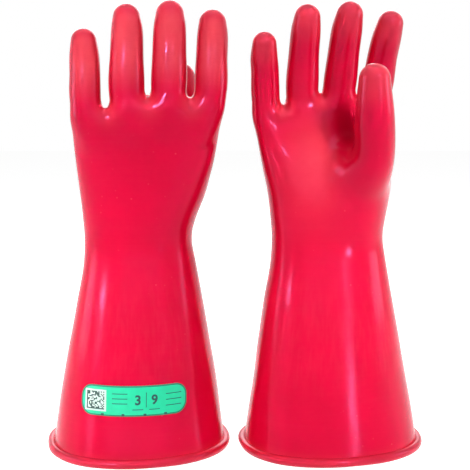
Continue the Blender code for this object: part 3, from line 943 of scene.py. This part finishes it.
def label_border():
    """A band around the label's edge."""
    straight = LABEL_LENGTH / 2 - LABEL_CORNER
    upright = LABEL_WIDTH / 2 - LABEL_CORNER
    loop = []
    for quarter, (sx, sy) in enumerate(((1, 1), (-1, 1), (-1, -1), (1, -1))):
        for step in range(CORNER_STEPS + 1):
            angle = (quarter + step / CORNER_STEPS) * math.pi / 2
            loop.append((sx * straight, sy * upright, math.cos(angle), math.sin(angle)))
    fine = []
    for here, there in zip(loop, loop[1:] + loop[:1]):
        parts = max(1, int(math.hypot(there[0] - here[0], there[1] - here[1]) / BORDER_STEP))
        for step in range(parts):
            share = step / parts
            fine.append([a + share * (b - a) for a, b in zip(here, there)])
    outer = [(x + LABEL_CORNER * c, y + LABEL_CORNER * s) for x, y, c, s in fine]
    inner = [(x + (LABEL_CORNER - BORDER) * c, y + (LABEL_CORNER - BORDER) * s) for x, y, c, s in fine]
    count = len(fine)
    faces = [[i, (i + 1) % count, (i + 1) % count + count, i + count] for i in range(count)]
    return outer + inner, faces


def label_blocks():
    """A square of random blocks inside two full and two broken edges."""
    dice = random.Random(5)
    cell = (PATCH_SIZE[0] / PATCH_CELLS, PATCH_SIZE[1] / PATCH_CELLS)
    last = PATCH_BLOCKS - 1
    blocks = []
    for i, j in itertools.product(range(PATCH_BLOCKS), repeat=2):
        edge = i == 0 or j == 0 or (i == last and j % 2 == 0) or (j == last and i % 2 == 0)
        if edge or dice.random() < BLOCK_CHANCE:
            x = PATCH_MIDDLE[0] + (i - last // 2) * cell[0]
            y = PATCH_MIDDLE[1] + (j - last // 2) * cell[1]
            blocks.append(plate((x, y), (cell[0] * BLOCK_SHARE, cell[1] * BLOCK_SHARE), (1, 1)))
    return joined(blocks)


def label_marks():
    """Two numerals with a divider, and plain lines beside and below them."""
    marks = [numeral(text, (x, NUMERAL_RISE), NUMERAL_HEIGHT) for text, x in NUMERALS]
    marks.append(plate((DIVIDER_PLACE, NUMERAL_RISE), DIVIDER_SIZE, (1, 8)))
    for x, y, length in LABEL_LINES:
        marks.append(plate((x, y), (length, LINE_WIDTH), (8, 1)))
    return joined(marks)


def label_ticks():
    """Short ticks along the label's lower edge."""
    return joined([plate((x, -LABEL_WIDTH / 2 + TICK_INSET), TICK_SIZE, (2, 2)) for x in TICK_PLACES])


def make_label(skin, paints):
    """The label's face and the layers printed on it."""
    columns, rows = LABEL_GRID
    share = (1 - np.cos(np.linspace(0, math.pi, columns + 1))) / 2
    alongs = LABEL_LENGTH * (share - 0.5)
    flat = [(x, label_half(x) * y) for x in alongs for y in np.linspace(-1, 1, rows + 1)]
    face = raised(skin, "face", flat, grid_faces(columns, rows), paints["green"])
    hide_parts(f"{skin.glove.side}_label")
    raised(skin, "border", *label_border(), paints["dark_green"])
    raised(skin, "patch", *plate(PATCH_MIDDLE, PATCH_SIZE, (8, 8)), paints["white"])
    raised(skin, "blocks", *label_blocks(), paints["ink"])
    raised(skin, "marks", *label_marks(), paints["ink"])
    raised(skin, "ticks", *label_ticks(), paints["ink"])


# Materials

def new_material(name):
    material = bpy.data.materials.new(name)
    material.use_nodes = True
    tree = material.node_tree
    return material, tree, tree.nodes["Principled BSDF"]


def named_value(tree, name):
    node = tree.nodes.new("ShaderNodeAttribute")
    node.attribute_name = name
    return node


def noise(tree, place, scale, detail=3.0, roughness=0.55):
    node = tree.nodes.new("ShaderNodeTexNoise")
    node.inputs["Scale"].default_value = scale
    node.inputs["Detail"].default_value = detail
    node.inputs["Roughness"].default_value = roughness
    tree.links.new(place, node.inputs["Vector"])
    return node.outputs["Fac"]


def stretched(tree, place, scale):
    node = tree.nodes.new("ShaderNodeMapping")
    node.inputs["Scale"].default_value = scale
    tree.links.new(place, node.inputs["Vector"])
    return node.outputs["Vector"]


def spread(tree, value, low, high, to_low, to_high):
    node = tree.nodes.new("ShaderNodeMapRange")
    for name, number in (("From Min", low), ("From Max", high), ("To Min", to_low), ("To Max", to_high)):
        node.inputs[name].default_value = number
    tree.links.new(value, node.inputs["Value"])
    return node.outputs["Result"]


def maths(tree, operation, a, b):
    node = tree.nodes.new("ShaderNodeMath")
    node.operation = operation
    for socket, value in zip(node.inputs, (a, b)):
        if isinstance(value, (int, float)):
            socket.default_value = value
        else:
            tree.links.new(value, socket)
    return node.outputs["Value"]


def mixed(tree, share, a, b):
    node = tree.nodes.new("ShaderNodeMix")
    node.data_type = "RGBA"
    tree.links.new(share, node.inputs["Factor"])
    for socket, value in ((node.inputs["A"], a), (node.inputs["B"], b)):
        if isinstance(value, tuple):
            socket.default_value = (*value, 1)
        else:
            tree.links.new(value, socket)
    return node.outputs["Result"]


def bumped(tree, height, distance, strength, below=None):
    node = tree.nodes.new("ShaderNodeBump")
    node.inputs["Distance"].default_value = distance
    node.inputs["Strength"].default_value = strength
    tree.links.new(height, node.inputs["Height"])
    if below is not None:
        tree.links.new(below, node.inputs["Normal"])
    return node.outputs["Normal"]


def rubber_material():
    """Dipped red rubber: slow shades of red, a pale coral that is partly powder and partly painted sheen,
    painted shade in the crease behind the thumb, and a soft shine.
    """
    material, tree, shader = new_material("red_rubber")
    place = named_value(tree, "rest").outputs["Vector"]
    bloom = named_value(tree, "bloom").outputs["Fac"]
    slow = noise(tree, place, *SLOW_NOISE)
    cloudy = noise(tree, place, *CLOUDY_NOISE)
    grain = noise(tree, place, *GRAIN_NOISE)
    streaks = noise(tree, stretched(tree, place, (1.0, 1.0, DRAWN_OUT)), *STREAK_NOISE)
    dips = noise(tree, stretched(tree, place, (DRAWN_OUT, DRAWN_OUT, 1.0)), *DIP_NOISE)
    height = tree.nodes.new("ShaderNodeSeparateXYZ")
    tree.links.new(place, height.inputs[0])
    sleeve = maths(tree, "MULTIPLY", spread(tree, height.outputs["Z"], *STREAKS_COME, 0, 1),
                   spread(tree, height.outputs["Z"], *STREAKS_GO, 1, 0))
    lines = maths(tree, "MULTIPLY", sleeve, spread(tree, streaks, 0.42, 0.66, 0, 1))
    lines = maths(tree, "ADD", lines, spread(tree, dips, 0.45, 0.75, 0, 0.30))
    dust = tree.nodes.new("ShaderNodeTexVoronoi")
    dust.inputs["Scale"].default_value = DUST_SCALE
    tree.links.new(place, dust.inputs["Vector"])
    specks = maths(tree, "MULTIPLY", spread(tree, dust.outputs["Distance"], 0.05, 0.11, 1, 0),
                   spread(tree, slow, 0.50, 0.64, 0, 0.50))
    red = mixed(tree, spread(tree, slow, 0.3, 0.7, 0, 1), RED_DEEP, RED)
    # Painted shade: darker red in the crease behind the thumb
    red = mixed(tree, maths(tree, "MULTIPLY", bloom, -1.0), red, PAINTED_SHADE_RED)
    # Pale coral: powder, plus painted sheen on the tips, finger backs, webs and palm
    powder_and_sheen = maths(tree, "MULTIPLY", bloom, spread(tree, cloudy, 0.25, 0.75, 0.80, 1.12))
    powder_and_sheen = maths(tree, "ADD", powder_and_sheen, maths(tree, "MULTIPLY", lines, LINE_POWDER))
    powder_and_sheen = maths(tree, "MINIMUM", maths(tree, "MAXIMUM", powder_and_sheen, specks), 1.0)
    tree.links.new(mixed(tree, powder_and_sheen, red, CORAL), shader.inputs["Base Color"])
    rough = spread(tree, cloudy, 0.3, 0.7, *ROUGHNESS)
    rough = maths(tree, "ADD", rough, maths(tree, "MULTIPLY", powder_and_sheen, POWDER_SHEEN_ROUGHNESS))
    tree.links.new(rough, shader.inputs["Roughness"])
    # The painted shade in the crease also dims the shine there
    shine = spread(tree, bloom, -CREASE_PAINTED_SHADE / 2, 0.0, CREASE_SHINE, SHINE)
    tree.links.new(shine, shader.inputs["Specular IOR Level"])
    shader.inputs["Specular Tint"].default_value = (*SHINE_TINT, 1)
    fine = bumped(tree, grain, *GRAIN_BUMP)
    fine = bumped(tree, lines, *LINE_BUMP, fine)
    tree.links.new(bumped(tree, cloudy, *CLOUDY_BUMP, fine), shader.inputs["Normal"])
    return material


def print_material(name, colour, shade, roughness):
    """Ink or foil on the label, slightly uneven."""
    material, tree, shader = new_material(name)
    place = named_value(tree, "rest").outputs["Vector"]
    cloudy = noise(tree, place, *PRINT_NOISE)
    paint = mixed(tree, spread(tree, cloudy, 0.3, 0.7, 0, 1), shade, colour)
    rough = spread(tree, cloudy, 0.3, 0.7, roughness - PRINT_ROUGHNESS, roughness + PRINT_ROUGHNESS)
    tree.links.new(paint, shader.inputs["Base Color"])
    tree.links.new(rough, shader.inputs["Roughness"])
    grain = noise(tree, place, *PRINT_GRAIN)
    tree.links.new(bumped(tree, grain, *PRINT_BUMP), shader.inputs["Normal"])
    return material


# Studio

def add_softbox(name, place, aim, size, half_spread, level):
    """A softbox whose grid narrows its light; the level is what a facing white surface would show."""
    beam = Vector(aim) - Vector(place)
    half = math.radians(half_spread)
    narrowing = 1 - half / math.tan(half)
    light = bpy.data.lights.new(name, "AREA")
    light.shape = "RECTANGLE"
    light.size, light.size_y = size
    light.spread = 2 * half
    light.energy = level * math.pi ** 2 * beam.length_squared * narrowing
    obj = bpy.data.objects.new(name, light)
    obj.location = place
    obj.rotation_euler = beam.to_track_quat("-Z", "Y").to_euler()
    bpy.context.scene.collection.objects.link(obj)


def white_for_view(tree, lit, white):
    """Mixes in white for what the camera sees directly, in reflections and through glass."""
    path = tree.nodes.new("ShaderNodeLightPath")
    seen = maths(tree, "MAXIMUM", path.outputs["Is Camera Ray"], path.outputs["Is Glossy Ray"])
    seen = maths(tree, "MAXIMUM", seen, path.outputs["Is Transmission Ray"])
    mix = tree.nodes.new("ShaderNodeMixShader")
    tree.links.new(seen, mix.inputs["Fac"])
    tree.links.new(lit, mix.inputs[1])
    tree.links.new(white, mix.inputs[2])
    return mix.outputs["Shader"]


def make_world():
    world = bpy.data.worlds.new("studio")
    world.use_nodes = True
    tree = world.node_tree
    tree.nodes.clear()
    output = tree.nodes.new("ShaderNodeOutputWorld")
    soft = tree.nodes.new("ShaderNodeBackground")
    soft.inputs["Color"].default_value = (1, 1, 1, 1)
    soft.inputs["Strength"].default_value = AMBIENT
    white = tree.nodes.new("ShaderNodeBackground")
    white.inputs["Color"].default_value = (1, 1, 1, 1)
    white.inputs["Strength"].default_value = 1.0
    tree.links.new(white_for_view(tree, soft.outputs[0], white.outputs[0]), output.inputs["Surface"])
    bpy.context.scene.world = world


def make_floor():
    """A pale floor that stays white to the view and keeps the soft shadow."""
    bm = bmesh.new()
    bmesh.ops.create_grid(bm, x_segments=8, y_segments=8, size=FLOOR_HALF_SIZE)
    mesh = bpy.data.meshes.new("floor")
    bm.to_mesh(mesh)
    bm.free()
    material, tree, shader = new_material("floor")
    shader.inputs["Base Color"].default_value = (*[FLOOR_BOUNCE] * 3, 1)
    shader.inputs["Roughness"].default_value = FLOOR_ROUGHNESS
    shaded = tree.nodes.new("ShaderNodeBsdfDiffuse")
    shaded.inputs["Color"].default_value = (*[FLOOR_SHADE] * 3, 1)
    glow = tree.nodes.new("ShaderNodeEmission")
    glow.inputs["Color"].default_value = (1, 1, 1, 1)
    glow.inputs["Strength"].default_value = FLOOR_GLOW
    both = tree.nodes.new("ShaderNodeAddShader")
    tree.links.new(shaded.outputs[0], both.inputs[0])
    tree.links.new(glow.outputs[0], both.inputs[1])
    output = tree.nodes["Material Output"]
    tree.links.new(white_for_view(tree, shader.outputs[0], both.outputs[0]), output.inputs["Surface"])
    mesh.materials.append(material)
    obj = bpy.data.objects.new("floor", mesh)
    bpy.context.scene.collection.objects.link(obj)


def make_camera():
    camera = bpy.data.cameras.new("camera")
    camera.lens = CAMERA_LENS
    camera.sensor_width = CAMERA_SENSOR
    obj = bpy.data.objects.new("camera", camera)
    obj.location = CAMERA_PLACE
    obj.rotation_euler = (math.radians(90) - CAMERA_PITCH, 0, 0)
    bpy.context.scene.collection.objects.link(obj)
    bpy.context.scene.camera = obj


def make_studio():
    make_world()
    make_floor()
    make_camera()
    for box in SOFTBOXES:
        add_softbox(*box)


def main():
    bpy.context.scene.view_settings.view_transform = "Standard"
    make_studio()
    rubber = rubber_material()
    paints = {name: print_material(f"label_{name}", *values) for name, values in LABEL_PAINTS.items()}
    for glove in GLOVES:
        skin = Skin(glove)
        make_skin(skin, rubber)
        make_bead(skin, rubber)
        make_label(skin, paints)


main()
